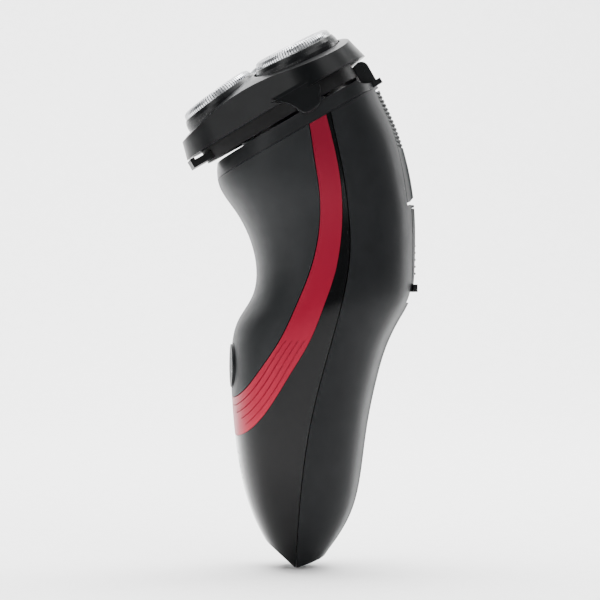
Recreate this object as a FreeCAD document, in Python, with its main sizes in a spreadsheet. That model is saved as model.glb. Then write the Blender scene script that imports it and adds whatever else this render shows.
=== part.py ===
"""Rotary shaver: a waisted handle, a hinged three-head shaving unit, a gear drive and a pop-up trimmer.

Frame: +Z up, the thumb side faces -Y, X is the width. Millimetres and degrees.
The head plane leans forward by head_tilt. Points of the head are written (x, u, n): u runs front to back
in that plane, n is its normal. Turning such a point by head_tilt about X gives the shaver's own frame.
"""
import FreeCAD, Part
import Sketcher
import math
import os
import re

V = FreeCAD.Vector
X_AXIS = V(1, 0, 0)
Y_AXIS = V(0, 1, 0)
Z_AXIS = V(0, 0, 1)
doc = FreeCAD.newDocument("ElectricShaver")

DIMS = [
    ("head_tilt", 30.0, "lean of the head plane, degrees"),
    ("datum_shift", -0.53, "moves the whole shaver along Y so that its box is centred"),
    ("shell_wall", 2.2, "wall of the handle shells"),
    ("skin_depth", 1.0, "depth of the band and the grip panel"),
    ("seam_gap", 0.14, "half of the line left between two shells"),
    ("collar_low", 108.5, "n of the collar's lower edge"),
    ("collar_top", 112.5, "n of the collar's rim"),
    ("deck_low", 108.3, "n of the drive deck's underside"),
    ("deck_thick", 1.6, "drive deck"),
    ("axis_u", 63.8, "u of the head's centre"),
    ("spindle_reach", 14.4, "distance of each spindle from the centre"),
    ("head_reach", 15.6, "distance of each lobe of the housing from the centre"),
    ("cap_lean", 6.0, "outward lean of each head, degrees"),
    ("joint_n", 117.0, "n at which a head's axis meets its spindle"),
    ("head_lift", 9.05, "from there to the head's own origin, along its axis"),
    ("lobe_base", 17.0, "radius of the housing's lobes at its lower edge"),
    ("housing_low", 117.4, "n of the housing's lower edge"),
    ("housing_high", 12.4, "height of the housing before the dome is cut"),
    ("housing_draft", 15.0, "draft of the housing's wall, degrees"),
    ("housing_wall", 1.8, "wall of the housing"),
    ("dome_radius", 75.0, "radius of the housing's top"),
    ("dome_top", 129.3, "n of the top of that dome"),
    ("pocket_radius", 13.1, "opening for one head"),
    ("skirt_radius", 12.65, "head ring"),
    ("cap_radius", 11.5, "slotted cap"),
    ("cap_slots", 90, "slots in one cap"),
    ("slot_width", 0.3, "one slot"),
    ("cutter_blades", 15, "blades of one cutter"),
    ("cutter_radius", 10.2, "outer edge of the blades"),
    ("hinge_u", 86.0, "head hinge"),
    ("hinge_n", 114.8, "head hinge"),
    ("hinge_pin_radius", 1.0, "steel pin"),
    ("barrel_radius", 2.1, "knuckles round the pin"),
    ("gear_module", 0.6, "module of the drive gears"),
    ("gear_teeth", 24, "teeth of each drive gear"),
    ("gear_low", 101.5, "n of the gears' underside"),
    ("gear_thick", 3.0, "face width of the gears"),
    ("motor_radius", 9.0, "motor can"),
    ("motor_length", 15.5, "motor can"),
    ("motor_top", 98.0, "n of the motor's face"),
    ("cell_radius", 7.0, "rechargeable cell"),
    ("cell_length", 50.0, "rechargeable cell"),
    ("cell_low", 24.0, "z of the cells"),
    ("button_radius", 6.2, "on and off button"),
    ("button_z", 58.0, "height of the button"),
    ("trimmer_half", 12.6, "half width of the trimmer"),
    ("trimmer_low", 105.2, "z of the trimmer's lower end"),
    ("trimmer_high", 136.4, "z of the trimmer's upper end"),
    ("slide_low", 79.2, "z of the trimmer slide's lower end"),
    ("slide_high", 103.2, "z of the trimmer slide's upper end"),
    ("inlet_half", 4.6, "half width of the charging recess"),
    ("inlet_deep", 10.0, "depth of the charging recess"),
    ("inlet_pin_radius", 0.75, "charging pin"),
    ("inlet_pin_spread", 2.3, "each pin from the centre line"),
]

# Cross sections of the handle: height, front, back and half width.
SECTIONS = [
    (0.0, -4.4, 6.4, 6.4),
    (7.5, -9.0, 11.0, 10.8),
    (16.8, -13.3, 15.9, 15.3),
    (27.0, -16.0, 18.2, 18.4),
    (40.0, -17.8, 19.9, 20.4),
    (54.0, -18.7, 22.7, 21.8),
    (64.0, -18.4, 25.7, 22.8),
    (71.0, -16.6, 29.1, 23.5),
    (78.0, -12.5, 32.7, 23.9),
    (86.0, -11.3, 33.7, 23.6),
    (95.0, -13.3, 33.9, 23.4),
    (103.0, -17.5, 33.6, 23.9),
    (110.0, -22.0, 32.7, 24.8),
    (117.0, -22.6, 31.2, 25.4),
    (127.0, -23.0, 28.0, 25.9),
    (138.0, -23.0, 23.0, 26.0),
    (150.0, -22.5, 15.5, 25.6),
]

sheet = doc.addObject("Spreadsheet::Sheet", "Dims")
for row, (alias, value, note) in enumerate(DIMS, start=1):
    sheet.set("A%d" % row, alias)
    sheet.set("B%d" % row, str(value))
    sheet.set("C%d" % row, note)
    sheet.setAlias("B%d" % row, alias)
first_row = len(DIMS) + 2
for number, section in enumerate(SECTIONS):
    for column, kind, value in zip("BCDE", ("height", "front", "back", "half"), section):
        cell = "%s%d" % (column, first_row + number)
        sheet.set(cell, str(value))
        sheet.setAlias(cell, "section_%s_%c" % (kind, 97 + number))
doc.recompute()


def num(alias):
    """The sheet's value of one name."""
    return float(sheet.get(alias))


def rule(text):
    """An expression in which every name with an underscore is a cell of the sheet."""
    named = re.sub(r"\b([a-z]+(?:_[a-z]+)+)\b", r"Dims.\1", str(text))
    return named.replace("(Dims.head_tilt)", "(Dims.head_tilt * 1 deg)")


def place(obj, at=(0, 0, 0), axis=Z_AXIS, angle=0.0):
    """Turn an object about its own origin and put that origin at a point given as rules."""
    obj.Placement = FreeCAD.Placement(V(0, 0, 0), FreeCAD.Rotation(axis, angle))
    for letter, value in zip("xyz", at):
        obj.setExpression("Placement.Base." + letter, rule(value))
    return obj


def block(name, size, at, axis=Z_AXIS, angle=0.0):
    """A box with one corner at a point."""
    obj = doc.addObject("Part::Box", name)
    for prop, value in zip(("Length", "Width", "Height"), size):
        obj.setExpression(prop, rule(value))
    return place(obj, at, axis, angle)


def rod(name, radius, length, at, axis=Z_AXIS, angle=0.0):
    """A cylinder standing on a point."""
    obj = doc.addObject("Part::Cylinder", name)
    obj.setExpression("Radius", rule(radius))
    obj.setExpression("Height", rule(length))
    return place(obj, at, axis, angle)


def cross_rod(name, radius, half, y, z, x=0):
    """A cylinder along X, centred on x."""
    return rod(name, radius, "2 * (%s)" % half, ("%s - (%s)" % (x, half), y, z), Y_AXIS, 90)


def fuse(name, shapes):
    obj = doc.addObject("Part::MultiFuse", name)
    obj.Shapes = shapes
    return obj


def cut(name, base, tool):
    obj = doc.addObject("Part::Cut", name)
    obj.Base = base
    obj.Tool = tool
    return obj


def meet(name, shapes):
    obj = doc.addObject("Part::MultiCommon", name)
    obj.Shapes = shapes
    return obj


def runs_sketch(name, runs):
    """A sketch whose closed outline is made of runs: two points a line, three points or more a curve."""
    sketch = doc.addObject("Sketcher::SketchObject", name)
    for run in runs:
        points = [V(a, b, 0) for a, b in run]
        if len(points) == 2:
            sketch.addGeometry(Part.LineSegment(*points), False)
        else:
            curve = Part.BSplineCurve()
            curve.interpolate(points)
            sketch.addGeometry(curve, False)
    return sketch


def side_prism(name, runs, half, tilted=False):
    """A solid from an outline in the side view, (y, z) or (u, n), running half to each side."""
    sketch = runs_sketch(name + "Outline", runs)
    sketch.Placement = FreeCAD.Placement(V(0, 0, 0), FreeCAD.Rotation(V(1, 1, 1), 120))
    solid = doc.addObject("Part::Extrusion", name)
    solid.Base = sketch
    solid.DirMode = "Custom"
    solid.Dir = X_AXIS
    solid.Solid = True
    solid.setExpression("LengthFwd", rule(half))
    solid.setExpression("LengthRev", rule(half))
    if tilted:
        solid.Placement = lean()
    return solid


def leant(x, u, n):
    """Rules for the point (x, u, n) in the shaver's frame."""
    y = "(%s) * cos(head_tilt) - (%s) * sin(head_tilt)" % (u, n)
    z = "(%s) * sin(head_tilt) + (%s) * cos(head_tilt)" % (u, n)
    return x, y, z


def lean_block(name, size, at):
    """A box square to the head plane, one corner at (x, u, n)."""
    return block(name, size, leant(*at), X_AXIS, num("head_tilt"))


def lean_rod(name, radius, length, at):
    """A cylinder along the head's normal."""
    return rod(name, radius, length, leant(*at), X_AXIS, num("head_tilt"))


def lean(x=0.0, u=0.0, n=0.0):
    """The placement that carries (x, u, n) coordinates into the shaver's frame."""
    turn = FreeCAD.Placement(V(0, 0, 0), FreeCAD.Rotation(X_AXIS, num("head_tilt")))
    return turn.multiply(FreeCAD.Placement(V(x, u, n), FreeCAD.Rotation()))


def corners(points):
    """The runs of a closed polygon."""
    return [[points[i], points[(i + 1) % len(points)]] for i in range(len(points))]


# ---------------------------------------------------------------- handle form
def section_wire(height, front, back, half, inset):
    """One closed section of the handle: a squarish oval in two halves that meet on the centre plane."""
    power = 2.0 / 2.35
    middle = (front + back) / 2
    deep = (back - front) / 2 - inset
    wide = half - inset
    edges = []
    for start, way in ((-90.0, 1), (90.0, -1)):
        points = []
        for step in range(11):
            angle = math.radians(start + 18.0 * step)
            side = abs(math.cos(angle)) ** power if 0 < step < 10 else 0.0
            fore = math.copysign(abs(math.sin(angle)) ** power, math.sin(angle)) if step != 5 else 0.0
            points.append(V(way * wide * side, middle + deep * fore, height))
        curve = Part.BSplineCurve()
        curve.interpolate(points, InitialTangent=V(way, 0, 0), FinalTangent=V(-way, 0, 0))
        edges.append(curve.toShape())
    return Part.Wire(edges)


def handle_form(name, inset, foot=0.0, head=0.0):
    """The handle as one solid, its side drawn in by inset and its two ends raised by foot and head."""
    obj = doc.addObject("Part::Feature", name)
    wires = []
    for number in range(len(SECTIONS)):
        letter = "%c" % (97 + number)
        height, *values = [num("section_%s_%s" % (kind, letter)) for kind in ("height", "front", "back", "half")]
        height += {0: foot, len(SECTIONS) - 1: head}.get(number, 0.0)
        wires.append(section_wire(height, *values, inset))
    obj.Shape = Part.makeLoft(wires, True, False)
    return obj


outer_form = handle_form("OuterForm", 0.0)
skin_form = handle_form("SkinForm", num("skin_depth"), -3.0, 4.0)
inner_form = handle_form("InnerForm", num("shell_wall"), 2.4, 4.0)

# ---------------------------------------------------------------- handle shells
FAR = 60.0
BACK_SEAM = [(6.0, 152.0), (7.0, 128.5), (10.6, 112.0), (12.2, 100.9), (12.6, 90.0), (11.3, 80.6),
             (7.0, 63.2), (2.0, 42.9), (-0.3, 25.5), (-0.9, 13.9), (-0.6, -4.0)]
BAND_BACK = [(4.4, 134.0), (6.4, 125.9), (8.7, 116.6), (10.2, 107.3), (10.3, 95.5), (8.4, 84.1), (5.2, 74.8),
             (1.5, 65.5), (-3.8, 56.3), (-9.3, 47.0), (-14.5, 40.3), (-20.0, 36.6)]
BAND_FRONT = [(-2.0, 134.0), (0.8, 125.9), (2.3, 116.6), (3.8, 107.3), (3.8, 95.5), (1.2, 84.1), (-2.6, 74.8),
              (-7.0, 65.5), (-12.8, 56.3), (-16.0, 51.6), (-20.0, 47.6)]


def shifted(points, dy):
    return [(y + dy, z) for y, z in points]


def behind(curve):
    """Everything on the +Y side of a curve that runs downwards."""
    top, bottom = curve[0], curve[-1]
    return [curve, [bottom, (FAR, bottom[1])], [(FAR, bottom[1]), (FAR, top[1])], [(FAR, top[1]), top]]


def between(front, back):
    return [front, [front[-1], back[-1]], list(reversed(back)), [back[0], front[0]]]


def ahead(curve):
    """Everything on the -Y side of a curve that runs downwards."""
    top, bottom = curve[0], curve[-1]
    return [curve, [bottom, (-FAR, bottom[1])], [(-FAR, bottom[1]), (-FAR, top[1])], [(-FAR, top[1]), top]]


def between_curves(share, dy):
    """The lower part of a curve that runs inside the band, a share of the way across it."""
    mixed = []
    for (y_front, z_front), (y_back, z_back) in zip(BAND_FRONT[7:], BAND_BACK[7:]):
        mixed.append((y_front + share * (y_back - y_front) + dy, z_front + share * (z_back - z_front)))
    return mixed


gap = num("seam_gap")
rear_zone = side_prism("RearZone", behind(shifted(BACK_SEAM, gap)), 60)
rear_reach = side_prism("RearReach", behind(shifted(BACK_SEAM, -gap)), 60)
band_zone = side_prism("BandZone", between(shifted(BAND_FRONT, gap), shifted(BAND_BACK, -gap)), 60)
groove_form = handle_form("GrooveForm", 0.3, -3.0, 4.0)
groove_prisms = []
for number, share in enumerate((0.2, 0.4, 0.6, 0.8)):
    edges = between(between_curves(share, -0.16), between_curves(share, 0.16))
    groove_prisms.append(side_prism("BandGroove%d" % number, edges, 60))
band_grooves = cut("BandGrooves", fuse("BandGroovePrisms", groove_prisms), groove_form)
grip_zone = side_prism("GripZone", ahead(shifted(BAND_FRONT, -gap)), 60)
overlay_zone = side_prism("OverlayZone", ahead(BAND_BACK), 60)

above_collar = lean_block("AboveCollar", (120, 200, 80), (-60, -40, "collar_low - 0.12"))
collar_slab = lean_block("CollarSlab", (120, 200, "collar_top - collar_low"), (-60, -40, "collar_low"))

# The tip is bevelled, and the charging recess opens in its rear bevel.
tip_bevel = side_prism("TipBevel", corners([(-9.0, 7.4), (-0.9, 0.0), (8.6, 3.35), (30.0, 8.0), (30.0, -9.0),
                                            (-30.0, -9.0), (-30.0, 12.0)]), 60)
inlet_tunnel = block("InletTunnel", ("2 * inlet_half", 5.6, "inlet_deep + 6"), ("-inlet_half", 0.4, -3))

# The bay of the trimmer and of its slide, open to the rear.
trimmer_bay = side_prism("TrimmerBay", corners([(40.0, 104.2), (25.4, 104.2), (24.0, 112.0), (17.6, 134.75),
                                                (40.0, 147.7)]), "trimmer_half + 0.35")
slide_bay = side_prism("SlideBay", corners([(40.0, 75.6), (30.6, 76.2), (30.6, 103.6), (40.0, 103.6)]), 9.4)
bay_wall = side_prism("BayWall", corners([(40.0, 101.8), (22.2, 101.8), (22.4, 112.0), (16.0, 135.6),
                                          (40.0, 149.5)]), "trimmer_half + 2.2")
slide_wall = side_prism("SlideWall", corners([(40.0, 72.4), (29.2, 74.2), (29.2, 104.0), (40.0, 104.0)]), 11.0)
trimmer_axis = (28.6, 108.6)
bay_sweep = cross_rod("BaySweep", 5.2, "trimmer_half + 0.35", *trimmer_axis)
trimmer_pin_hole = cross_rod("TrimmerPinHole", 0.8, "trimmer_half + 1.6", *trimmer_axis)
bay_void = fuse("BayVoid", [trimmer_bay, slide_bay, bay_sweep, trimmer_pin_hole])

# The head swings about its hinge, so the rim behind the pin is scooped out.
hinge_at = leant(0, "hinge_u", "hinge_n")[1:]


def at_hinge(name, radius, half, x=0):
    """A cylinder along X on the axis of the head hinge."""
    return cross_rod(name, radius, half, *hinge_at, x)


hinge_scoop = at_hinge("HingeScoop", 4.6, 40)
outlet_voids = fuse("HandleVoids", [above_collar, tip_bevel, inlet_tunnel, bay_void, hinge_scoop])

trunk_voids = fuse("TrunkVoids", [above_collar, tip_bevel, inlet_tunnel])
trunk = cut("Trunk", outer_form, trunk_voids)
rear_core = cut("RearCore", inner_form, fuse("BayBlocks", [bay_wall, slide_wall]))
rear_body = cut("RearBody", meet("RearTrunk", [trunk, rear_zone]), rear_core)
back_shell = cut("BackShell", rear_body, bay_void)

front_wall = cut("FrontWall", cut("FrontTrunk", trunk, rear_reach), inner_form)
front_recess = cut("FrontRecess", overlay_zone, skin_form)
button_well = rod("ButtonWell", "button_radius + 1.2", 12, (0, -26, "button_z"), X_AXIS, -90)
lens_hole = block("LensHole", (6.4, 12, 7.4), (-3.2, -26, 25.6))
front_voids = fuse("FrontVoids", [button_well, lens_hole])
front_shell = cut("FrontShell", cut("FrontRecessed", front_wall, front_recess), front_voids)

button_hole = rod("ButtonHole", "button_radius + 0.3", 14, (0, -26, "button_z"), X_AXIS, -90)
grip_skin = cut("GripSkin", meet("GripTrunk", [trunk, grip_zone]), skin_form)
grip_panel = cut("GripPanel", grip_skin, button_hole)
band_plain = cut("BandPlain", meet("BandTrunk", [trunk, band_zone]), skin_form)
accent_band = cut("AccentBand", band_plain, band_grooves)

# The collar: rim of the handle, with the two lugs of the head hinge.
lugs = []
for side, name in ((-1, "Left"), (1, "Right")):
    eye = at_hinge("LugEye" + name, "barrel_radius", 2.3, side * 12.2)
    foot = lean_block("LugFoot" + name, (4.6, "2 * barrel_radius", 6.2),
                      (side * 12.2 - 2.3, "hinge_u - barrel_radius", "hinge_n - 6.2"))
    lugs += [eye, foot]
    heel = lean_block("LugHeel" + name, (4.6, 5.4, 1.6), (side * 12.2 - 2.3, "hinge_u - 2", "collar_low + 0.1"))
    lugs.append(heel)
collar_ring = cut("CollarRing", meet("CollarPart", [outer_form, collar_slab]), inner_form)
collar_scooped = cut("CollarScooped", collar_ring, hinge_scoop)
lug_pair = cut("LugPair", fuse("Lugs", lugs), at_hinge("CollarPinHole", "hinge_pin_radius", 20))
shoulder_collar = fuse("ShoulderCollar", [collar_scooped, lug_pair])

# The deck closes the handle under the head; the spindles come up through it.
def spindle_point(index):
    """Rules for x and u of one spindle: 0 front, 1 right, 2 left."""
    angle = (-90, 30, 150)[index]
    return "spindle_reach * %.6f" % math.cos(math.radians(angle)), \
        "axis_u + spindle_reach * %.6f" % math.sin(math.radians(angle))


NAMES = ("front", "right", "left")
deck_slab = lean_block("DeckSlab", (120, 200, "deck_thick"), (-60, -40, "deck_low"))
deck_form = handle_form("DeckForm", num("shell_wall") + 0.25, 2.4, 4.0)
deck_holes = [lean_rod("DeckHole%d" % i, 3.4, 20, (*spindle_point(i), "deck_low - 5")) for i in range(3)]
deck_holes.append(bay_wall)
for side in (-1, 1):
    deck_holes.append(lean_block("HeelRoom%d" % (side + 1), (5.2, 6.2, 2.6),
                                 (side * 12.2 - 2.6, "hinge_u - 2.4", "collar_low - 0.4")))
drive_deck = cut("DriveDeck", meet("DeckPart", [deck_form, deck_slab]), fuse("DeckVoids", deck_holes))

bridge_slab = lean_block("BridgeSlab", (50, 38, 1.5), (-25, "axis_u - 21", "motor_top + 0.02"))
bridge_holes = [lean_rod("BridgeHole", 2.2, 10, (0, "axis_u", "motor_top - 3"))]
motor_bridge = cut("MotorBridge", meet("BridgePart", [deck_form, bridge_slab]),
                   fuse("BridgeVoids", bridge_holes + [bay_wall]))


# ---------------------------------------------------------------- drive
def polygon_sketch(body, name, plane, points, lift=0.0):
    """A closed polygon in a body's own origin plane."""
    sketch = body.newObject("Sketcher::SketchObject", name)
    support = [f for f in body.Origin.OriginFeatures if f.Role == plane][0]
    sketch.AttachmentSupport = [(support, "")]
    sketch.MapMode = "FlatFace"
    sketch.AttachmentOffset = FreeCAD.Placement(V(0, 0, lift), FreeCAD.Rotation())
    for start, end in corners(points):
        sketch.addGeometry(Part.LineSegment(V(*start, 0), V(*end, 0)), False)
    for index in range(len(points)):
        sketch.addConstraint(Sketcher.Constraint("Coincident", index, 2, (index + 1) % len(points), 1))
    return sketch


def spun(body, name, points):
    """A solid turned round the body's Z axis from (radius, height) points."""
    turn = body.newObject("PartDesign::Revolution", name)
    outline = polygon_sketch(body, name + "Outline", "XZ_Plane", points)
    turn.Profile = outline
    turn.ReferenceAxis = (outline, ["V_Axis"])
    turn.Angle = 360
    return turn


def repeat(body, name, feature, sketch, count):
    """The same feature all the way round."""
    pattern = body.newObject("PartDesign::PolarPattern", name)
    pattern.Originals = [feature]
    pattern.Axis = (sketch, ["N_Axis"])
    pattern.Angle = 360
    pattern.setExpression("Occurrences", rule(count))
    body.Tip = pattern
    return pattern


def gear(name, phase, at, bore):
    """A spur gear of the drive, standing on a point of the head frame."""
    body = doc.addObject("PartDesign::Body", name)
    module, teeth = num("gear_module"), num("gear_teeth")
    pitch = module * teeth / 2
    root, tip = pitch - 1.25 * module, pitch + 0.85 * module
    thick = num("gear_thick")
    rim = [(bore, 0), (root, 0), (root, thick), (pitch - 3.2, thick), (pitch - 3.2, thick - 0.8),
           (3.6, thick - 0.8), (3.6, thick), (bore, thick)]
    spun(body, name + "Blank", rim)
    flank = [(root - 0.3, -0.62), (pitch, -0.40), (tip, -0.2), (tip, 0.2), (pitch, 0.40), (root - 0.3, 0.62)]
    sketch = polygon_sketch(body, name + "Flank", "XY_Plane", flank)
    tooth = body.newObject("PartDesign::Pad", name + "Tooth")
    tooth.Profile = sketch
    tooth.setExpression("Length", rule("gear_thick"))
    repeat(body, name + "Teeth", tooth, sketch, "gear_teeth")
    spot = lean(*at)
    body.Placement = spot.multiply(FreeCAD.Placement(V(0, 0, 0), FreeCAD.Rotation(Z_AXIS, phase)))
    return body


def direction(index):
    angle = math.radians((-90, 30, 150)[index])
    return math.cos(angle), math.sin(angle)


def head_axis_point(index, reach):
    side, fore = direction(index)
    return reach * side, num("axis_u") + reach * fore


def head_frame(index, drop=0.0):
    """The own frame of one head: its Z axis leans outward from the spindle's."""
    side, fore = direction(index)
    base = lean(*head_axis_point(index, num("spindle_reach")), num("joint_n"))
    tilt = FreeCAD.Placement(V(0, 0, 0), FreeCAD.Rotation(V(-fore, side, 0), num("cap_lean")))
    return base.multiply(tilt).multiply(FreeCAD.Placement(V(0, 0, num("head_lift") + drop), FreeCAD.Rotation()))


parts = {}
parts["central_gear"] = gear("CentralGear", 0.0, (0, num("axis_u"), num("gear_low")), 1.02)
shaft = lean_rod("ShaftRod", 1.0, 13, (0, "axis_u", "motor_top - 6"))
parts["motor_shaft"] = shaft
can = lean_rod("MotorCan", "motor_radius", "motor_length", (0, "axis_u", "motor_top - motor_length"))
boss = lean_rod("MotorBoss", 2.0, 1.0, (0, "axis_u", "motor_top"))
end_cap = lean_rod("MotorEnd", "motor_radius - 2", 1.6, (0, "axis_u", "motor_top - motor_length - 1.6"))
shaft_bore = lean_rod("MotorBore", 1.04, 30, (0, "axis_u", "motor_top - 6.2"))
parts["motor"] = cut("Motor", fuse("MotorSolid", [can, boss, end_cap]), shaft_bore)

for index, name in enumerate(NAMES):
    x, u = head_axis_point(index, num("spindle_reach"))
    parts["drive_gear_" + name] = gear("DriveGear" + name.title(), 7.5, (x, u, num("gear_low")), 2.02)
    post = lean_rod("Post" + name, 2.0, 13.2, (*spindle_point(index), "gear_low - 0.4"))
    flange = lean_rod("Flange" + name, 2.9, 0.9, (*spindle_point(index), "gear_low + gear_thick + 0.02"))
    peg = lean_block("Peg" + name, (2.2, 2.2, 3.6), (x - 1.1, u - 1.1, "gear_low + 12.8"))
    foot_pin = lean_rod("FootPin" + name, 0.9, 3, (*spindle_point(index), "motor_top + 0.9"))
    parts["spindle_" + name] = fuse("Spindle" + name.title(), [post, flange, peg, foot_pin])
    bridge_holes.append(lean_rod("SpindleBearing" + name, 0.95, 8, (*spindle_point(index), "motor_top - 2")))
doc.getObject("BridgeVoids").Shapes = bridge_holes + [bay_wall]

# ---------------------------------------------------------------- shaving unit
def lobes(name, radius, low, height, draft=0.0):
    """A three-lobed solid round the head's axis, drawn in as it rises."""
    sketch = doc.addObject("Sketcher::SketchObject", name + "Outline")
    for index in range(3):
        x, u = head_axis_point(index, num("head_reach"))
        start = math.radians((-150, -30, 90)[index])
        sketch.addGeometry(Part.ArcOfCircle(Part.Circle(V(x, u, 0), Z_AXIS, radius),
                                            start, start + math.radians(120)), False)
        following = (index + 1) % 3
        end_angle = start + math.radians(120)
        next_x, next_u = head_axis_point(following, num("head_reach"))
        step = V(radius * math.cos(end_angle), radius * math.sin(end_angle), 0)
        sketch.addGeometry(Part.LineSegment(V(x, u, 0) + step, V(next_x, next_u, 0) + step), False)
    solid = doc.addObject("Part::Extrusion", name)
    solid.Base = sketch
    solid.DirMode = "Custom"
    solid.Dir = Z_AXIS
    solid.Solid = True
    solid.setExpression("LengthFwd", rule(height))
    solid.TaperAngle = -draft
    sketch.Placement = FreeCAD.Placement(V(0, 0, 0), FreeCAD.Rotation())
    return place(solid, leant(0, 0, low), X_AXIS, num("head_tilt"))


def dome(name, drop):
    """The ball whose cap is the housing's top."""
    obj = doc.addObject("Part::Sphere", name)
    obj.setExpression("Radius", rule("dome_radius - %s" % drop))
    return place(obj, leant(0, "axis_u", "dome_top - dome_radius"))


def head_rod(name, index, radius, low, high):
    """A cylinder on one head's own axis."""
    obj = doc.addObject("Part::Cylinder", name)
    obj.setExpression("Radius", rule(radius))
    obj.Height = high - low
    obj.Placement = head_frame(index, low)
    return obj


pockets = [head_rod("Pocket%d" % i, i, "pocket_radius", -4.6, 12) for i in range(3)]
housing_skin = meet("HousingSkin", [lobes("HousingLobes", num("lobe_base"), "housing_low", "housing_high",
                                          num("housing_draft")), dome("HousingDome", 0)])
housing_hollow = meet("HousingHollow", [
    lobes("HollowLobes", num("lobe_base") - num("housing_wall"), "housing_low - 0.01", 10.2, num("housing_draft")),
    dome("HollowDome", 2.6)])
housing_voids = fuse("HousingVoids", [housing_hollow] + pockets)
arms = []
for side, name in ((-1, "Left"), (1, "Right")):
    arm = side_prism("Arm" + name, corners([(57.5, 119.4), (60.2, 117.2), (63.9, 111.3), (65.0, 111.3),
                                            (71.8, 117.0), (72.5, 119.4)]), 0.8)
    side_x = side * 29.1
    arm.Placement = lean(side_x, 0, 0)
    arms.append(arm)
housing_solid = cut("HousingShell", housing_skin, housing_voids)
parts["head_housing"] = fuse("HeadHousing", [housing_solid] + arms)

cup = lobes("CupLobes", 12.2, 113.5, 5.0)
cup_hollow = lobes("CupHollow", 11.0, 114.7, 5.0)
link = lean_block("BarrelLink", (17.6, 3.0, 3.0), (-8.8, 82.6, 113.5))
barrel = at_hinge("Barrel", "barrel_radius - 0.1", 9.5)
cup_holes = [lean_rod("CupHole%d" % i, 4.6, 8, (*spindle_point(i), 110)) for i in range(3)]
cup_holes += [at_hinge("BarrelBore", "hinge_pin_radius + 0.04", 20), cup_hollow]
rim_plate = cut("RimPlate", lobes("RimLobes", 14.6, 117.5, 0.9), lobes("RimHollow", 11.0, 117.0, 3.0))
parts["hair_chamber"] = cut("HairChamber", fuse("CupSolid", [cup, link, barrel, rim_plate]),
                            fuse("CupVoids", cup_holes))
parts["hinge_pin"] = at_hinge("HingePin", "hinge_pin_radius", 14.3)

frame_plate = lobes("FramePlate", 14.4, 118.5, 1.1)
frame_holes = [head_rod("FrameHole%d" % i, i, 9.2, -9.5, 4) for i in range(3)]
frame_holes.append(lean_rod("FrameLockHole", 2.1, 8, (0, "axis_u", 115)))
parts["retaining_frame"] = cut("RetainingFrame", frame_plate, fuse("FrameVoids", frame_holes))
wheel_disc = lean_rod("WheelDisc", 4.2, 1.6, (0, "axis_u", 116.9))
wheel_stem = lean_rod("WheelStem", 2.0, 4.6, (0, "axis_u", 118.4))
wheel_grip = lean_block("WheelGrip", (1.4, 7.4, 1.4), (-0.7, "axis_u - 3.7", 115.6))
parts["lock_wheel"] = fuse("LockWheel", [wheel_disc, wheel_stem, wheel_grip])
tab_plate = lean_block("TabPlate", (13, 7.4, 2.0), (-6.5, 31.4, 114.2))
tab_lip = lean_block("TabLip", (13, 1.4, 2.7), (-6.5, 31.4, 114.2))
parts["release_tab"] = fuse("ReleaseTab", [tab_plate, tab_lip])
doc.getObject("CupVoids").Shapes = cup_holes + [
    lean_block("TabSlot", (13.5, 14, 2.5), (-6.75, 27, 113.95))]

for index, name in enumerate(NAMES):
    title = name.title()
    ring = doc.addObject("PartDesign::Body", "Ring" + title)
    outer = num("skirt_radius")
    spun(ring, "RingTurn" + title, [
        (9.6, -4.2), (outer - 0.3, -4.2), (outer, -3.8), (outer, 0.3), (outer - 0.25, 1.3), (outer - 0.7, 2.3),
        (num("cap_radius") + 0.12, 2.5), (num("cap_radius") + 0.12, 0.4), (10.9, 0.4), (10.9, -3.0), (9.6, -3.0)])
    ring.Placement = head_frame(index)
    parts["head_ring_" + name] = ring

    cap = doc.addObject("PartDesign::Body", "Cap" + title)
    edge = num("cap_radius")
    spun(cap, "CapTurn" + title, [
        (0, 3.5), (5.2, 3.5), (5.9, 4.15), (6.6, 4.5), (8.3, 4.6), (10.2, 4.45), (11.1, 4.0), (edge, 3.2), (edge, 0.5),
        (edge - 0.35, 0.5), (edge - 0.35, 3.1), (10.85, 3.7), (10.1, 4.1), (8.3, 4.25), (6.7, 4.15), (6.1, 3.8),
        (5.4, 3.1), (0, 3.1)])
    half_slot = num("slot_width") / 2
    slot_sketch = polygon_sketch(cap, "SlotOutline" + title, "XY_Plane", [
        (6.5, -half_slot), (13, -half_slot), (13, half_slot), (6.5, half_slot)], 2.3)
    slot = cap.newObject("PartDesign::Pocket", "Slot" + title)
    slot.Profile = slot_sketch
    slot.Length = 4
    slot.Reversed = True
    repeat(cap, "Slots" + title, slot, slot_sketch, "cap_slots")
    cap.Placement = head_frame(index)
    parts["slotted_cap_" + name] = cap

    cutter = doc.addObject("PartDesign::Body", "Cutter" + title)
    spun(cutter, "CutterTurn" + title, [
        (0, -9.4), (3.2, -9.4), (3.2, -6.0), (2.4, -5.4), (2.4, 0.6), (10.0, 0.6), (10.0, 1.3), (0, 1.3)])
    socket = cutter.newObject("PartDesign::Pocket", "Socket" + title)
    socket.Profile = polygon_sketch(cutter, "SocketOutline" + title, "XY_Plane", [
        (-1.7, -1.7), (1.7, -1.7), (1.7, 1.7), (-1.7, 1.7)], -9.5)
    socket.Length = 2.6
    socket.Reversed = True
    blade_sketch = polygon_sketch(cutter, "BladeOutline" + title, "YZ_Plane", [
        (6.4, 1.1), (10.0, 1.1), (10.15, 3.55), (9.8, 3.85), (8.3, 4.05), (6.8, 3.9), (6.4, 3.5)])
    blade = cutter.newObject("PartDesign::Pad", "Blade" + title)
    blade.Profile = blade_sketch
    blade.Length = 0.55
    blade.Midplane = True
    blades = repeat(cutter, "Blades" + title, blade, blade_sketch, "cutter_blades")
    blades.Axis = (blade_sketch, ["V_Axis"])
    cutter.Placement = head_frame(index)
    parts["cutter_" + name] = cutter

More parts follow.
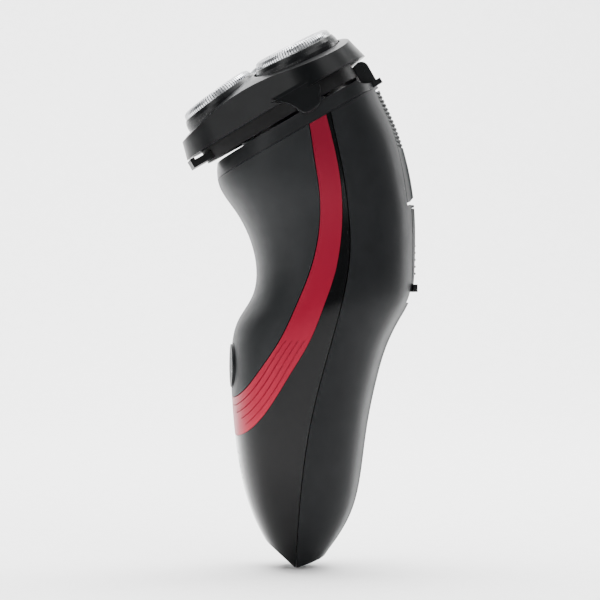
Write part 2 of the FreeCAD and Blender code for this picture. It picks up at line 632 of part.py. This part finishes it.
# ---------------------------------------------------------------- trimmer
door_core = side_prism("DoorCore", corners([(40.0, 106.8), (33.2, 106.6), (31.8, 105.1), (28.6, 103.9), (25.6, 105.1),
                                            (24.6, 112.0), (18.4, 134.4), (40.0, 146.9)]), "trimmer_half")
door_block = meet("DoorBlock", [outer_form, door_core])
door_pocket = side_prism("DoorPocket", corners([(20.0, 112.4), (36.0, 112.4), (36.0, 150.0), (10.0, 150.0)]),
                         "trimmer_half - 1.3")
door_hollow = meet("DoorHollow", [inner_form, door_pocket])
rib_blocks = []
for index in range(14):
    rib_blocks.append(block("RibGroove%d" % index, (40, 20, 0.55), (-20, 20, 120.6 + 1.15 * index)))
rib_form = handle_form("RibForm", 0.35, -3.0, 4.0)
rib_grooves = cut("RibGrooves", fuse("RibBlocks", rib_blocks), rib_form)
door_voids = fuse("DoorVoids", [door_hollow, rib_grooves, cross_rod("DoorPinHole", 0.84, 20, *trimmer_axis)])
trimmer_lid = cut("TrimmerDoor", door_block, door_voids)
parts["trimmer_pin"] = cross_rod("TrimmerPin", 0.8, "trimmer_half + 1.5", *trimmer_axis)

COMB_LEAN = 21.0


def comb_block(name, size, across, out, up):
    """A box in the comb's own plane: across the width, out from its rear face, up from its root."""
    slope = math.radians(COMB_LEAN)
    y = 22.9 + out * math.cos(slope) - up * math.sin(slope)
    z = 127.9 + out * math.sin(slope) + up * math.cos(slope)
    return block(name, size, (across, y, z), X_AXIS, COMB_LEAN)


def toothed(name, half, thick, low, high, out, pitch, tooth):
    """A steel plate with a row of teeth along its upper edge."""
    solids = [comb_block(name + "Plate", (2 * half, thick, high - low - 2.0), -half, out, low)]
    count = int(2 * half / pitch)
    for step in range(count):
        x = -half + pitch * step + (2 * half - pitch * count + pitch - tooth) / 2
        solids.append(comb_block("%sTooth%d" % (name, step), (tooth, thick, 2.3), x, out, high - 2.3))
    return fuse(name, solids)


carrier_seat = comb_block("CarrierSeat", (22.6, 1.95, 8.4), -11.3, -0.1, -0.75)
parts["trimmer_door"] = cut("TrimmerDoorSeated", trimmer_lid, carrier_seat)
parts["trimmer_comb"] = toothed("TrimmerComb", 11.0, 0.7, 0.0, 7.2, 0.0, 1.1, 0.55)
parts["trimmer_blade"] = toothed("TrimmerBlade", 9.6, 0.6, 1.4, 6.9, -0.7, 1.6, 0.9)
parts["trimmer_carrier"] = comb_block("TrimmerCarrier", (22.4, 1.0, 5.0), -11.2, 0.72, -0.6)

slide_core = side_prism("SlideCore", corners([
    (40.0, num("slide_low")), (31.2, num("slide_low")), (31.2, num("slide_high")), (40.0, num("slide_high"))]), 8.9)
slide_lip = block("SlideLip", (17.8, 1.2, 2.2), (-8.9, 32.9, "slide_low"))
slide_grip = [cross_rod("SlideRib%d" % i, 0.35, 6.0, 33.68, 84.5 + 2.0 * i) for i in range(5)]
parts["trimmer_slide"] = fuse("TrimmerSlide", [meet("SlidePart", [outer_form, slide_core]), slide_lip] + slide_grip)

# ---------------------------------------------------------------- button, lamp, board, cells
button_disc = rod("ButtonDisc", "button_radius", 2.6, (0, -19.1, "button_z"), X_AXIS, -90)
button_stem = rod("ButtonStem", 1.5, 4.0, (0, -17.0, "button_z"), X_AXIS, -90)
button_dish = doc.addObject("Part::Sphere", "ButtonDish")
button_dish.Radius = 40
place(button_dish, (0, -58.75, "button_z"))
parts["power_button"] = cut("PowerButton", fuse("ButtonSolid", [button_disc, button_stem]), button_dish)
seal_ring = rod("SealRing", "button_radius + 0.85", 0.6, (0, -16.9, "button_z"), X_AXIS, -90)
seal_hole = rod("SealHole", "button_radius + 0.15", 6, (0, -19, "button_z"), X_AXIS, -90)
parts["button_seal"] = cut("ButtonSeal", seal_ring, seal_hole)
parts["tactile_switch"] = block("TactileSwitch", (6, 0.8, 6), (-3, -12.3, "button_z - 3"))
parts["circuit_board"] = block("CircuitBoard", (17.6, 1.6, 44), (-8.8, -11.5, 26))
parts["charge_lamp"] = block("ChargeLamp", (2.4, 1.2, 3.0), (-1.2, -12.7, 27.8))
lens_block = block("LensBlock", (6.1, 12, 7.1), (-3.05, -26, 25.75))
parts["charge_lens"] = cut("ChargeLens", meet("LensPart", [outer_form, lens_block]), inner_form)
for side, name in ((-1, "left"), (1, "right")):
    cell = rod("Cell" + name, "cell_radius", "cell_length", (side * 7.3, 4.4, "cell_low"))
    knob = rod("CellKnob" + name, 2.4, 0.9, (side * 7.3, 4.4, "cell_low + cell_length"))
    parts["battery_cell_" + name] = fuse("BatteryCell" + name.title(), [cell, knob])
parts["cell_link"] = block("CellLink", (20, 5, 0.3), (-10, 1.9, "cell_low + cell_length + 0.92"))
chassis_wall = block("ChassisWall", (30, 1.8, 66), (-15, -7.0, 20.4))
shelves = [block("Shelf%d" % i, (30, 18, 1.5), (-15, -5.3, z)) for i, z in enumerate((21.9, 76.4))]
parts["inner_chassis"] = meet("InnerChassis", [deck_form, fuse("ChassisSolid", [chassis_wall] + shelves)])

inlet_body = block("InletBody", ("2 * inlet_half - 0.1", 5.5, 12.6), ("0.05 - inlet_half", 0.45, 0.2))
inlet_mouth = block("InletMouth", (7.8, 4.1, "inlet_deep"), (-3.9, 1.15, 0))
inlet_pins = []
inlet_holes = []
for side in (-1, 1):
    spot = ("%d * inlet_pin_spread" % side, 3.2, 3.4)
    root_spot = ("%d * inlet_pin_spread" % side, 3.2, "inlet_deep")
    inlet_pins.append(rod("InletPin%d" % (side + 1), "inlet_pin_radius", "inlet_deep - 3.4", spot))
    inlet_pins.append(rod("InletPinRoot%d" % (side + 1), "inlet_pin_radius + 0.25", 2.4, root_spot))
    inlet_holes.append(rod("InletPinHole%d" % (side + 1), "inlet_pin_radius + 0.25", 6, root_spot))
inlet_cuts = fuse("InletCuts", [inlet_mouth, tip_bevel] + inlet_holes)
parts["charging_inlet"] = cut("ChargingInlet", inlet_body, inlet_cuts)
parts["inlet_pins"] = fuse("InletPins", inlet_pins)

screws = []
for side in (-1, 1):
    screws.append(lean_rod("ScrewShank%d" % (side + 1), 0.95, 3.6, (side * 6.4, "axis_u", "motor_top - 2")))
    screws.append(lean_rod("ScrewHead%d" % (side + 1), 1.8, 1.1, (side * 6.4, "axis_u", "motor_top + 1.54")))
    bridge_holes.append(lean_rod("ScrewHole%d" % (side + 1), 1.0, 6, (side * 6.4, "axis_u", "motor_top - 2.2")))
parts["motor_screws"] = fuse("MotorScrews", screws)
doc.getObject("BridgeVoids").Shapes = bridge_holes + [bay_wall]
motor_solid = parts.pop("motor")
parts["motor"] = cut("MotorDrilled", motor_solid, fuse("MotorHoles", bridge_holes[-2:]))
seals = []
for index in range(3):
    ring = lean_rod("SealOuter%d" % index, 3.36, 1.4, (*spindle_point(index), "deck_low + 0.1"))
    hole = lean_rod("SealInner%d" % index, 2.07, 4, (*spindle_point(index), "deck_low - 1"))
    seals.append(cut("SpindleSeal%d" % index, ring, hole))
parts["spindle_seals"] = fuse("SpindleSeals", seals)

parts["back_shell"] = back_shell
parts["front_shell"] = front_shell
parts["grip_panel"] = grip_panel
parts["accent_band"] = accent_band
parts["shoulder_collar"] = shoulder_collar
parts["drive_deck"] = drive_deck
parts["motor_bridge"] = motor_bridge

# ---------------------------------------------------------------- checks and export
doc.recompute()
os.makedirs("parts", exist_ok=True)
shift = V(0, num("datum_shift"), 0)
for name in sorted(parts):
    obj = parts[name]
    bad = [word for word in obj.State if word in ("Invalid", "Error")]
    if bad or obj.Shape.isNull() or not obj.Shape.isValid():
        raise RuntimeError("%s failed: %s" % (name, obj.State))
    obj.Label = name
    for letter, move in zip("xyz", shift):
        paths = dict(obj.ExpressionEngine)
        key = "Placement.Base." + letter
        held = paths.get("." + key, paths.get(key))
        if held and move:
            obj.setExpression(key, "%s + (%s)" % (held, "Dims.datum_shift"))
    if not any("Placement.Base.y" in path for path, _ in obj.ExpressionEngine):
        obj.Placement.Base = obj.Placement.Base + shift
doc.recompute()
whole = FreeCAD.BoundBox()
for name, obj in sorted(parts.items()):
    whole.add(obj.Shape.BoundBox)
    obj.Shape.exportStep("parts/%s.step" % name)
print("parts", len(parts), "box", whole)
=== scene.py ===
"""Looks of the rotary shaver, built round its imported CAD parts."""

import math

import bmesh
import bpy
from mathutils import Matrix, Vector
from mathutils.bvhtree import BVHTree


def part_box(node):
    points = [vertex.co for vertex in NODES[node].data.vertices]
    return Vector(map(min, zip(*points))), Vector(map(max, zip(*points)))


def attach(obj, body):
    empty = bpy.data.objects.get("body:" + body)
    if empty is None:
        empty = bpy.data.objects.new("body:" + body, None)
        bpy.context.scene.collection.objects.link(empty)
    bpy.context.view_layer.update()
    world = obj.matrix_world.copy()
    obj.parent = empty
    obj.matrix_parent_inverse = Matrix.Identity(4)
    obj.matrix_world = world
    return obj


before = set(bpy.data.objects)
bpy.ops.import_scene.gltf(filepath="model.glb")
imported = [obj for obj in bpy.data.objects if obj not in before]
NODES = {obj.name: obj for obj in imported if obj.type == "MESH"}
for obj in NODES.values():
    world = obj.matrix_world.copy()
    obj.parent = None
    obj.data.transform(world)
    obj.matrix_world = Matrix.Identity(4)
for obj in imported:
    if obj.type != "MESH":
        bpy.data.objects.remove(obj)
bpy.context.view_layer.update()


MM = 0.001


# ---------------------------------------------------------------- materials
class Shader:
    """A node material that is built a step at a time."""

    def __init__(self, name):
        self.material = bpy.data.materials.new(name)
        self.material.use_nodes = True
        self.tree = self.material.node_tree
        self.bsdf = self.tree.nodes["Principled BSDF"]
        self.coords = self.tree.nodes.new("ShaderNodeTexCoord").outputs["Object"]

    def node(self, kind, **values):
        """A new node with some of its inputs set."""
        made = self.tree.nodes.new("ShaderNode" + kind)
        for key, value in values.items():
            made.inputs[key].default_value = value
        return made

    def link(self, source, target):
        self.tree.links.new(source, target)

    def set(self, **values):
        """Constant values on the shader's own sockets."""
        for key, value in values.items():
            self.bsdf.inputs[key].default_value = value
        return self

    def noise(self, scale, detail=3.0, stretch=None):
        """Noise from 0 to 1 in the piece's own space."""
        texture = self.node("TexNoise", Scale=scale, Detail=detail, Roughness=0.5)
        vector = self.coords
        if stretch:
            mapping = self.node("Mapping")
            mapping.inputs["Scale"].default_value = stretch
            self.link(self.coords, mapping.inputs["Vector"])
            vector = mapping.outputs["Vector"]
        self.link(vector, texture.inputs["Vector"])
        return texture.outputs["Fac"]

    def ramp(self, factor, stops):
        """A colour that runs through (position, colour) stops."""
        ramp = self.node("ValToRGB")
        elements = ramp.color_ramp.elements
        while len(elements) < len(stops):
            elements.new(0.5)
        for element, (position, colour) in zip(elements, stops):
            element.position = position
            element.color = (*colour, 1.0)
        self.link(factor, ramp.inputs["Fac"])
        return ramp.outputs["Color"]

    def colour(self, dark, light, scale=180.0, detail=4.0, stretch=None):
        """Base colour that wanders between two close tones."""
        tone = self.ramp(self.noise(scale, detail, stretch), [(0.3, dark), (0.7, light)])
        self.link(tone, self.bsdf.inputs["Base Color"])
        return self

    def rough(self, low, high, scale=260.0, detail=3.0, stretch=None):
        """Roughness that wanders between two values."""
        span = self.node("MapRange")
        span.inputs["To Min"].default_value = low
        span.inputs["To Max"].default_value = high
        self.link(self.noise(scale, detail, stretch), span.inputs["Value"])
        self.link(span.outputs["Result"], self.bsdf.inputs["Roughness"])
        return self

    def grain(self, scale, strength, distance, detail=2.0, stretch=None):
        """A fine bump; the distance is in metres."""
        height = self.noise(scale, detail, stretch)
        bump = self.node("Bump", Strength=strength, Distance=distance)
        self.link(height, bump.inputs["Height"])
        self.link(bump.outputs["Normal"], self.bsdf.inputs["Normal"])
        return self


GRAIN_DEPTH = 0.00004


def plastic(name, dark, light, rough, grain_scale, grain_strength, specular=0.5):
    """Moulded plastic between two close tones."""
    shader = Shader(name)
    shader.colour(dark, light).rough(*rough)
    shader.grain(grain_scale, grain_strength, GRAIN_DEPTH)
    return shader.set(**{"Specular IOR Level": specular})


def metal(name, dark, light, rough, stretch=None):
    """Bright metal, brushed where it is stretched."""
    shader = Shader(name)
    shader.colour(dark, light, 220.0, 5.0, stretch).rough(*rough, 500.0, 4.0, stretch)
    shader.set(Metallic=1.0)
    return shader.grain(900.0, 0.08, 0.00002, 3.0, stretch)


soft_charcoal = plastic("soft_touch_charcoal", (0.0030, 0.0038, 0.0045), (0.0050, 0.0058, 0.0066),
                        (0.46, 0.58), 5200.0, 0.16, 0.20)
gloss_black = plastic("gloss_black", (0.0012, 0.0013, 0.0015), (0.0018, 0.0020, 0.0022),
                      (0.10, 0.18), 300.0, 0.02, 0.16)
matte_back = plastic("matte_back", (0.0030, 0.0036, 0.0042), (0.0046, 0.0052, 0.0060),
                     (0.40, 0.52), 4200.0, 0.22, 0.13)
collar_satin = plastic("collar_satin", (0.0030, 0.0034, 0.0040), (0.0050, 0.0056, 0.0062),
                       (0.34, 0.44), 3200.0, 0.10, 0.15)
head_satin = plastic("head_satin", (0.0012, 0.0015, 0.0018), (0.0022, 0.0026, 0.0030),
                     (0.26, 0.36), 2400.0, 0.06, 0.15)
ring_satin = plastic("ring_satin", (0.0030, 0.0034, 0.0038), (0.0052, 0.0056, 0.0062),
                     (0.22, 0.32), 2600.0, 0.05, 0.18)
chamber_black = plastic("chamber_black", (0.0012, 0.0012, 0.0014), (0.0024, 0.0024, 0.0028),
                        (0.45, 0.58), 3000.0, 0.12, 0.15)
frame_grey = plastic("frame_grey", (0.10, 0.11, 0.12), (0.14, 0.15, 0.16), (0.40, 0.52), 2600.0, 0.10)
rubber_black = plastic("rubber_black", (0.008, 0.008, 0.008), (0.014, 0.014, 0.014),
                       (0.65, 0.80), 3600.0, 0.20)
nylon = plastic("natural_nylon", (0.62, 0.61, 0.56), (0.72, 0.71, 0.66), (0.35, 0.50), 1800.0, 0.08)
board_green = plastic("board_green", (0.006, 0.06, 0.025), (0.01, 0.09, 0.04), (0.30, 0.40), 900.0, 0.10)
cell_wrap = plastic("cell_wrap", (0.02, 0.10, 0.20), (0.03, 0.13, 0.25), (0.25, 0.35), 500.0, 0.05)
smoked_lens = plastic("smoked_lens", (0.0015, 0.0017, 0.002), (0.0025, 0.0028, 0.003),
                      (0.08, 0.12), 400.0, 0.01, 0.2)
steel_cap = metal("cap_steel", (0.50, 0.51, 0.53), (0.66, 0.67, 0.69), (0.22, 0.34))
steel_blade = metal("blade_steel", (0.42, 0.43, 0.45), (0.58, 0.59, 0.61), (0.20, 0.36), (4.0, 1.0, 1.0))
steel_pin = metal("pin_steel", (0.55, 0.55, 0.57), (0.70, 0.70, 0.72), (0.16, 0.28))
motor_zinc = metal("motor_zinc", (0.38, 0.39, 0.41), (0.50, 0.51, 0.53), (0.30, 0.45))

# Heights over which the crimson band's painted shade runs from light to dark.
BAND_SHADE_LOW = 0.040
BAND_SHADE_HIGH = 0.122


def crimson_band_painted_shade():
    """Crimson lacquer with painted shade: lighter low on the band where it turns round the front, darker
    towards its top, as the light falls.
    """
    shader = Shader("crimson_lacquer_painted_shade")
    split = shader.node("SeparateXYZ")
    shader.link(shader.coords, split.inputs["Vector"])
    height = shader.node("MapRange")
    height.inputs["From Min"].default_value = BAND_SHADE_LOW
    height.inputs["From Max"].default_value = BAND_SHADE_HIGH
    shader.link(split.outputs["Z"], height.inputs["Value"])
    # Painted shade: the crimson is lighter at the band's bottom and darker towards its top, set by height.
    tone = shader.ramp(height.outputs["Result"], [
        (0.0, (0.30, 0.010, 0.030)), (0.4, (0.19, 0.004, 0.018)), (1.0, (0.12, 0.002, 0.012))])
    shader.link(tone, shader.bsdf.inputs["Base Color"])
    shader.rough(0.34, 0.44, 900.0).set(Metallic=0.15, **{"Specular IOR Level": 0.12})
    return shader.grain(2600.0, 0.05, 0.00003)


crimson_painted_shade = crimson_band_painted_shade()
mark_white = plastic("mark_white", (0.62, 0.64, 0.66), (0.72, 0.74, 0.76), (0.35, 0.45), 1500.0, 0.05)
mark_grey = plastic("mark_grey", (0.16, 0.17, 0.18), (0.22, 0.23, 0.24), (0.35, 0.45), 1500.0, 0.05)

LOOKS = {
    soft_charcoal: ["grip_panel", "power_button"],
    gloss_black: ["front_shell"],
    matte_back: ["back_shell", "trimmer_door"],
    collar_satin: ["hinge_pin", "shoulder_collar", "drive_deck", "trimmer_slide"],
    head_satin: ["head_housing"],
    ring_satin: ["head_ring_front", "head_ring_right", "head_ring_left"],
    chamber_black: ["hair_chamber", "release_tab", "trimmer_carrier", "charging_inlet", "tactile_switch"],
    frame_grey: ["motor_bridge", "inner_chassis", "retaining_frame", "lock_wheel",
                 "spindle_front", "spindle_right", "spindle_left"],
    rubber_black: ["spindle_seals", "button_seal"],
    nylon: ["central_gear", "drive_gear_front", "drive_gear_right", "drive_gear_left"],
    board_green: ["circuit_board"],
    cell_wrap: ["battery_cell_left", "battery_cell_right"],
    smoked_lens: ["charge_lens", "charge_lamp"],
    steel_cap: ["slotted_cap_front", "slotted_cap_right", "slotted_cap_left"],
    steel_blade: ["cutter_front", "cutter_right", "cutter_left", "trimmer_comb", "trimmer_blade"],
    steel_pin: ["trimmer_pin", "motor_shaft", "motor_screws", "inlet_pins", "cell_link"],
    motor_zinc: ["motor"],
    crimson_painted_shade: ["accent_band"],
}
for shader, names in LOOKS.items():
    for name in names:
        piece = NODES[name]
        piece.data.materials.clear()
        piece.data.materials.append(shader.material)



def add_piece(name, mesh):
    """An object of a finished bmesh."""
    data = bpy.data.meshes.new(name)
    mesh.to_mesh(data)
    mesh.free()
    piece = bpy.data.objects.new(name, data)
    bpy.context.collection.objects.link(piece)
    return piece


def bridge(mesh, rings):
    """Side faces between rings of points, and a face on each end."""
    count = len(rings[0])
    for before, after in zip(rings, rings[1:]):
        for corner in range(count):
            following = (corner + 1) % count
            mesh.faces.new((before[corner], before[following], after[following], after[corner]))
    mesh.faces.new(rings[0])
    mesh.faces.new(list(reversed(rings[-1])))


# ---------------------------------------------------------------- printed marks, as thin raised ribbons
def ribbon_sections(path, width):
    """Left and right points of a flat ribbon along an (x, z) path."""
    sections = []
    for index, (x, z) in enumerate(path):
        x_before, z_before = path[max(index - 1, 0)]
        x_after, z_after = path[min(index + 1, len(path) - 1)]
        run, rise = x_after - x_before, z_after - z_before
        length = math.hypot(run, rise)
        side_x, side_z = -rise / length * width / 2, run / length * width / 2
        sections.append(((x + side_x, z + side_z), (x - side_x, z - side_z)))
    return sections


MARK_DEPTH = 0.06 * MM
RAY_START = -60 * MM


def raised_mark(name, strokes, target, body, shader):
    """Ribbons laid on the front of a CAD node, seen from -Y."""
    surface = BVHTree.FromObject(NODES[target], bpy.context.evaluated_depsgraph_get())
    mesh = bmesh.new()

    def on_surface(point, lift):
        hit = surface.ray_cast(Vector((point[0], RAY_START, point[1])), Vector((0, 1, 0)))[0]
        depth = hit.y if hit else 0.0
        return mesh.verts.new((point[0], depth - lift, point[1]))

    for path, width in strokes:
        rings = []
        for left, right in ribbon_sections(path, width):
            rings.append([on_surface(left, MARK_DEPTH), on_surface(right, MARK_DEPTH),
                          on_surface(right, -MARK_DEPTH), on_surface(left, -MARK_DEPTH)])
        bridge(mesh, rings)
    bmesh.ops.recalc_face_normals(mesh, faces=mesh.faces)
    piece = add_piece(name, mesh)
    piece.data.materials.append(shader.material)
    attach(piece, body)


def arc(centre, radius, start, end, steps=24):
    """Points on an arc; the angles are in degrees."""
    points = []
    for step in range(steps + 1):
        angle = math.radians(start + (end - start) * step / steps)
        points.append((centre[0] + radius * math.cos(angle), centre[1] + radius * math.sin(angle)))
    return points


def line(start, end, steps=4):
    """Points on a straight stroke."""
    return [(start[0] + (end[0] - start[0]) * step / steps, start[1] + (end[1] - start[1]) * step / steps)
            for step in range(steps + 1)]


def middle_height(name):
    """The height of the middle of a CAD node."""
    low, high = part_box(name)
    return (low[2] + high[2]) / 2


lens_z = middle_height("charge_lens")
plug_strokes = [
    (arc((0, lens_z + 0.2 * MM), 1.5 * MM, 180, 360), 0.35 * MM),
    (line((-1.5 * MM, lens_z + 0.2 * MM), (1.5 * MM, lens_z + 0.2 * MM)), 0.35 * MM),
    (line((-0.7 * MM, lens_z + 0.3 * MM), (-0.7 * MM, lens_z + 1.7 * MM)), 0.4 * MM),
    (line((0.7 * MM, lens_z + 0.3 * MM), (0.7 * MM, lens_z + 1.7 * MM)), 0.4 * MM),
    (line((0, lens_z - 1.3 * MM), (0, lens_z - 2.6 * MM)), 0.35 * MM),
]
raised_mark("charge_mark", plug_strokes, "charge_lens", "handle", mark_white)
button_z = middle_height("power_button")
power_strokes = [
    (arc((0, button_z), 1.9 * MM, 125, 415), 0.32 * MM),
    (line((0, button_z + 0.5 * MM), (0, button_z + 2.4 * MM)), 0.32 * MM),
]
raised_mark("power_mark", power_strokes, "power_button", "power_button", mark_grey)

# ---------------------------------------------------------------- side skirts of the shaving unit
HEAD_LEAN = math.radians(30)
HEAD_SHIFT = -0.53
SKIRT_NEAR = 28.2
SKIRT_FAR = 30.0
SKIRT_MIDDLE = (65.0, 116.5)
SKIRT_EDGE = [
    (57.0, 118.6), (59.0, 117.5), (60.8, 115.9), (62.0, 113.9), (62.9, 112.1), (63.7, 111.3), (64.8, 111.0),
    (67.0, 111.1), (68.4, 111.7), (69.6, 113.0), (70.5, 114.8), (71.3, 116.8), (72.6, 118.6)]


def head_point(x, along, up):
    """A point of the leaning head plane, in millimetres, in the shaver's own frame."""
    y = along * math.cos(HEAD_LEAN) - up * math.sin(HEAD_LEAN) + HEAD_SHIFT
    z = along * math.sin(HEAD_LEAN) + up * math.cos(HEAD_LEAN)
    return x * MM, y * MM, z * MM


def skirt_ring(mesh, x, shrink):
    """The apron's outline at x, drawn in towards its middle."""
    along, up = SKIRT_MIDDLE
    return [mesh.verts.new(head_point(x, along + (u - along) * shrink, up + (n - up) * shrink))
            for u, n in SKIRT_EDGE]


def side_skirt(name, side):
    """An apron with a rounded outer edge that carries the housing's wall down to the collar."""
    mesh = bmesh.new()
    steps = [(SKIRT_NEAR, 0.94), (SKIRT_NEAR, 1.0),
             (SKIRT_FAR - 0.5, 1.0), (SKIRT_FAR - 0.12, 0.975), (SKIRT_FAR, 0.93)]
    bridge(mesh, [skirt_ring(mesh, side * x, shrink) for x, shrink in steps])
    bmesh.ops.recalc_face_normals(mesh, faces=mesh.faces)
    piece = add_piece(name, mesh)
    piece.data.materials.append(head_satin.material)
    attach(piece, "shaving_unit")


side_skirt("side_skirt_left", -1)
side_skirt("side_skirt_right", 1)

# ---------------------------------------------------------------- floor, light and camera
FLOOR_FRONT = 2.2
FLOOR_BACK = -0.55
FLOOR_HALF_WIDTH = 2.6
FLOOR_DROP = 0.0004
COVE_RADIUS = 0.45
COVE_STEPS = 16
WALL_HEIGHT = 2.4


def cove():
    """A pale floor that curves up behind the object into a backdrop."""
    profile = [(FLOOR_FRONT, 0.0), (FLOOR_BACK, 0.0)]
    for step in range(1, COVE_STEPS + 1):
        angle = math.radians(90 * step / COVE_STEPS)
        profile.append((FLOOR_BACK - COVE_RADIUS * math.sin(angle),
                        COVE_RADIUS - COVE_RADIUS * math.cos(angle)))
    profile.append((FLOOR_BACK - COVE_RADIUS, WALL_HEIGHT))
    mesh = bmesh.new()
    rows = [[mesh.verts.new((x, y, z - FLOOR_DROP)) for x, z in profile]
            for y in (-FLOOR_HALF_WIDTH, FLOOR_HALF_WIDTH)]
    for index in range(len(profile) - 1):
        face = mesh.faces.new((rows[0][index], rows[1][index], rows[1][index + 1], rows[0][index + 1]))
        face.smooth = True
    return add_piece("floor", mesh)


floor = cove()
pale = plastic("pale_floor", (0.90, 0.90, 0.90), (0.93, 0.93, 0.93), (0.75, 0.85), 60.0, 0.02)
floor.data.materials.append(pale.material)


def panel_light(name, at, target, size, watts):
    """A soft rectangular lamp that looks at a point."""
    data = bpy.data.lights.new(name, "AREA")
    data.shape = "RECTANGLE"
    data.size, data.size_y = size
    data.energy = watts
    lamp = bpy.data.objects.new(name, data)
    bpy.context.collection.objects.link(lamp)
    lamp.location = at
    lamp.rotation_euler = (Vector(target) - Vector(at)).to_track_quat("-Z", "Y").to_euler()


MIDDLE = (0.0, 0.0, 0.078)
panel_light("key", (0.55, 0.30, 0.55), MIDDLE, (0.45, 0.45), 2.6)
panel_light("front_fill", (0.45, -0.65, 0.25), MIDDLE, (0.30, 0.70), 2.6)
panel_light("top", (0.05, 0.0, 0.75), MIDDLE, (0.60, 0.60), 5.0)
panel_light("rear_strip", (-0.25, 0.60, 0.30), MIDDLE, (0.15, 0.60), 3.0)
panel_light("backdrop_wash", (-0.35, 0.0, 1.35), (-0.85, 0.0, 0.20), (1.60, 0.80), 74.0)

# The world sheds a dim even light, and its backdrop is pale in every view.
WORLD_LIGHT = 0.26
WORLD_BACKDROP = 0.80
world = bpy.data.worlds.new("studio")
world.use_nodes = True
world_nodes = world.node_tree.nodes
background = world_nodes["Background"]
background.inputs["Color"].default_value = (1.0, 1.0, 1.0, 1.0)
ray = world_nodes.new("ShaderNodeLightPath")
strength = world_nodes.new("ShaderNodeMapRange")
strength.inputs["To Min"].default_value = WORLD_LIGHT
strength.inputs["To Max"].default_value = WORLD_BACKDROP
world.node_tree.links.new(ray.outputs["Is Camera Ray"], strength.inputs["Value"])
world.node_tree.links.new(strength.outputs["Result"], background.inputs["Strength"])
bpy.context.scene.world = world

camera_data = bpy.data.cameras.new("camera")
camera = bpy.data.objects.new("camera", camera_data)
bpy.context.collection.objects.link(camera)
bpy.context.scene.camera = camera
camera_data.lens = 120.0
camera_data.sensor_width = 36.0
AZIMUTH = math.radians(84.0)
DISTANCE = 0.580
TARGET = Vector((0.0, 0.0005, 0.0769))
camera.location = TARGET + Vector((math.sin(AZIMUTH), -math.cos(AZIMUTH), 0.0)) * DISTANCE
camera.rotation_euler = (TARGET - camera.location).to_track_quat("-Z", "Y").to_euler()

bpy.context.view_layer.update()
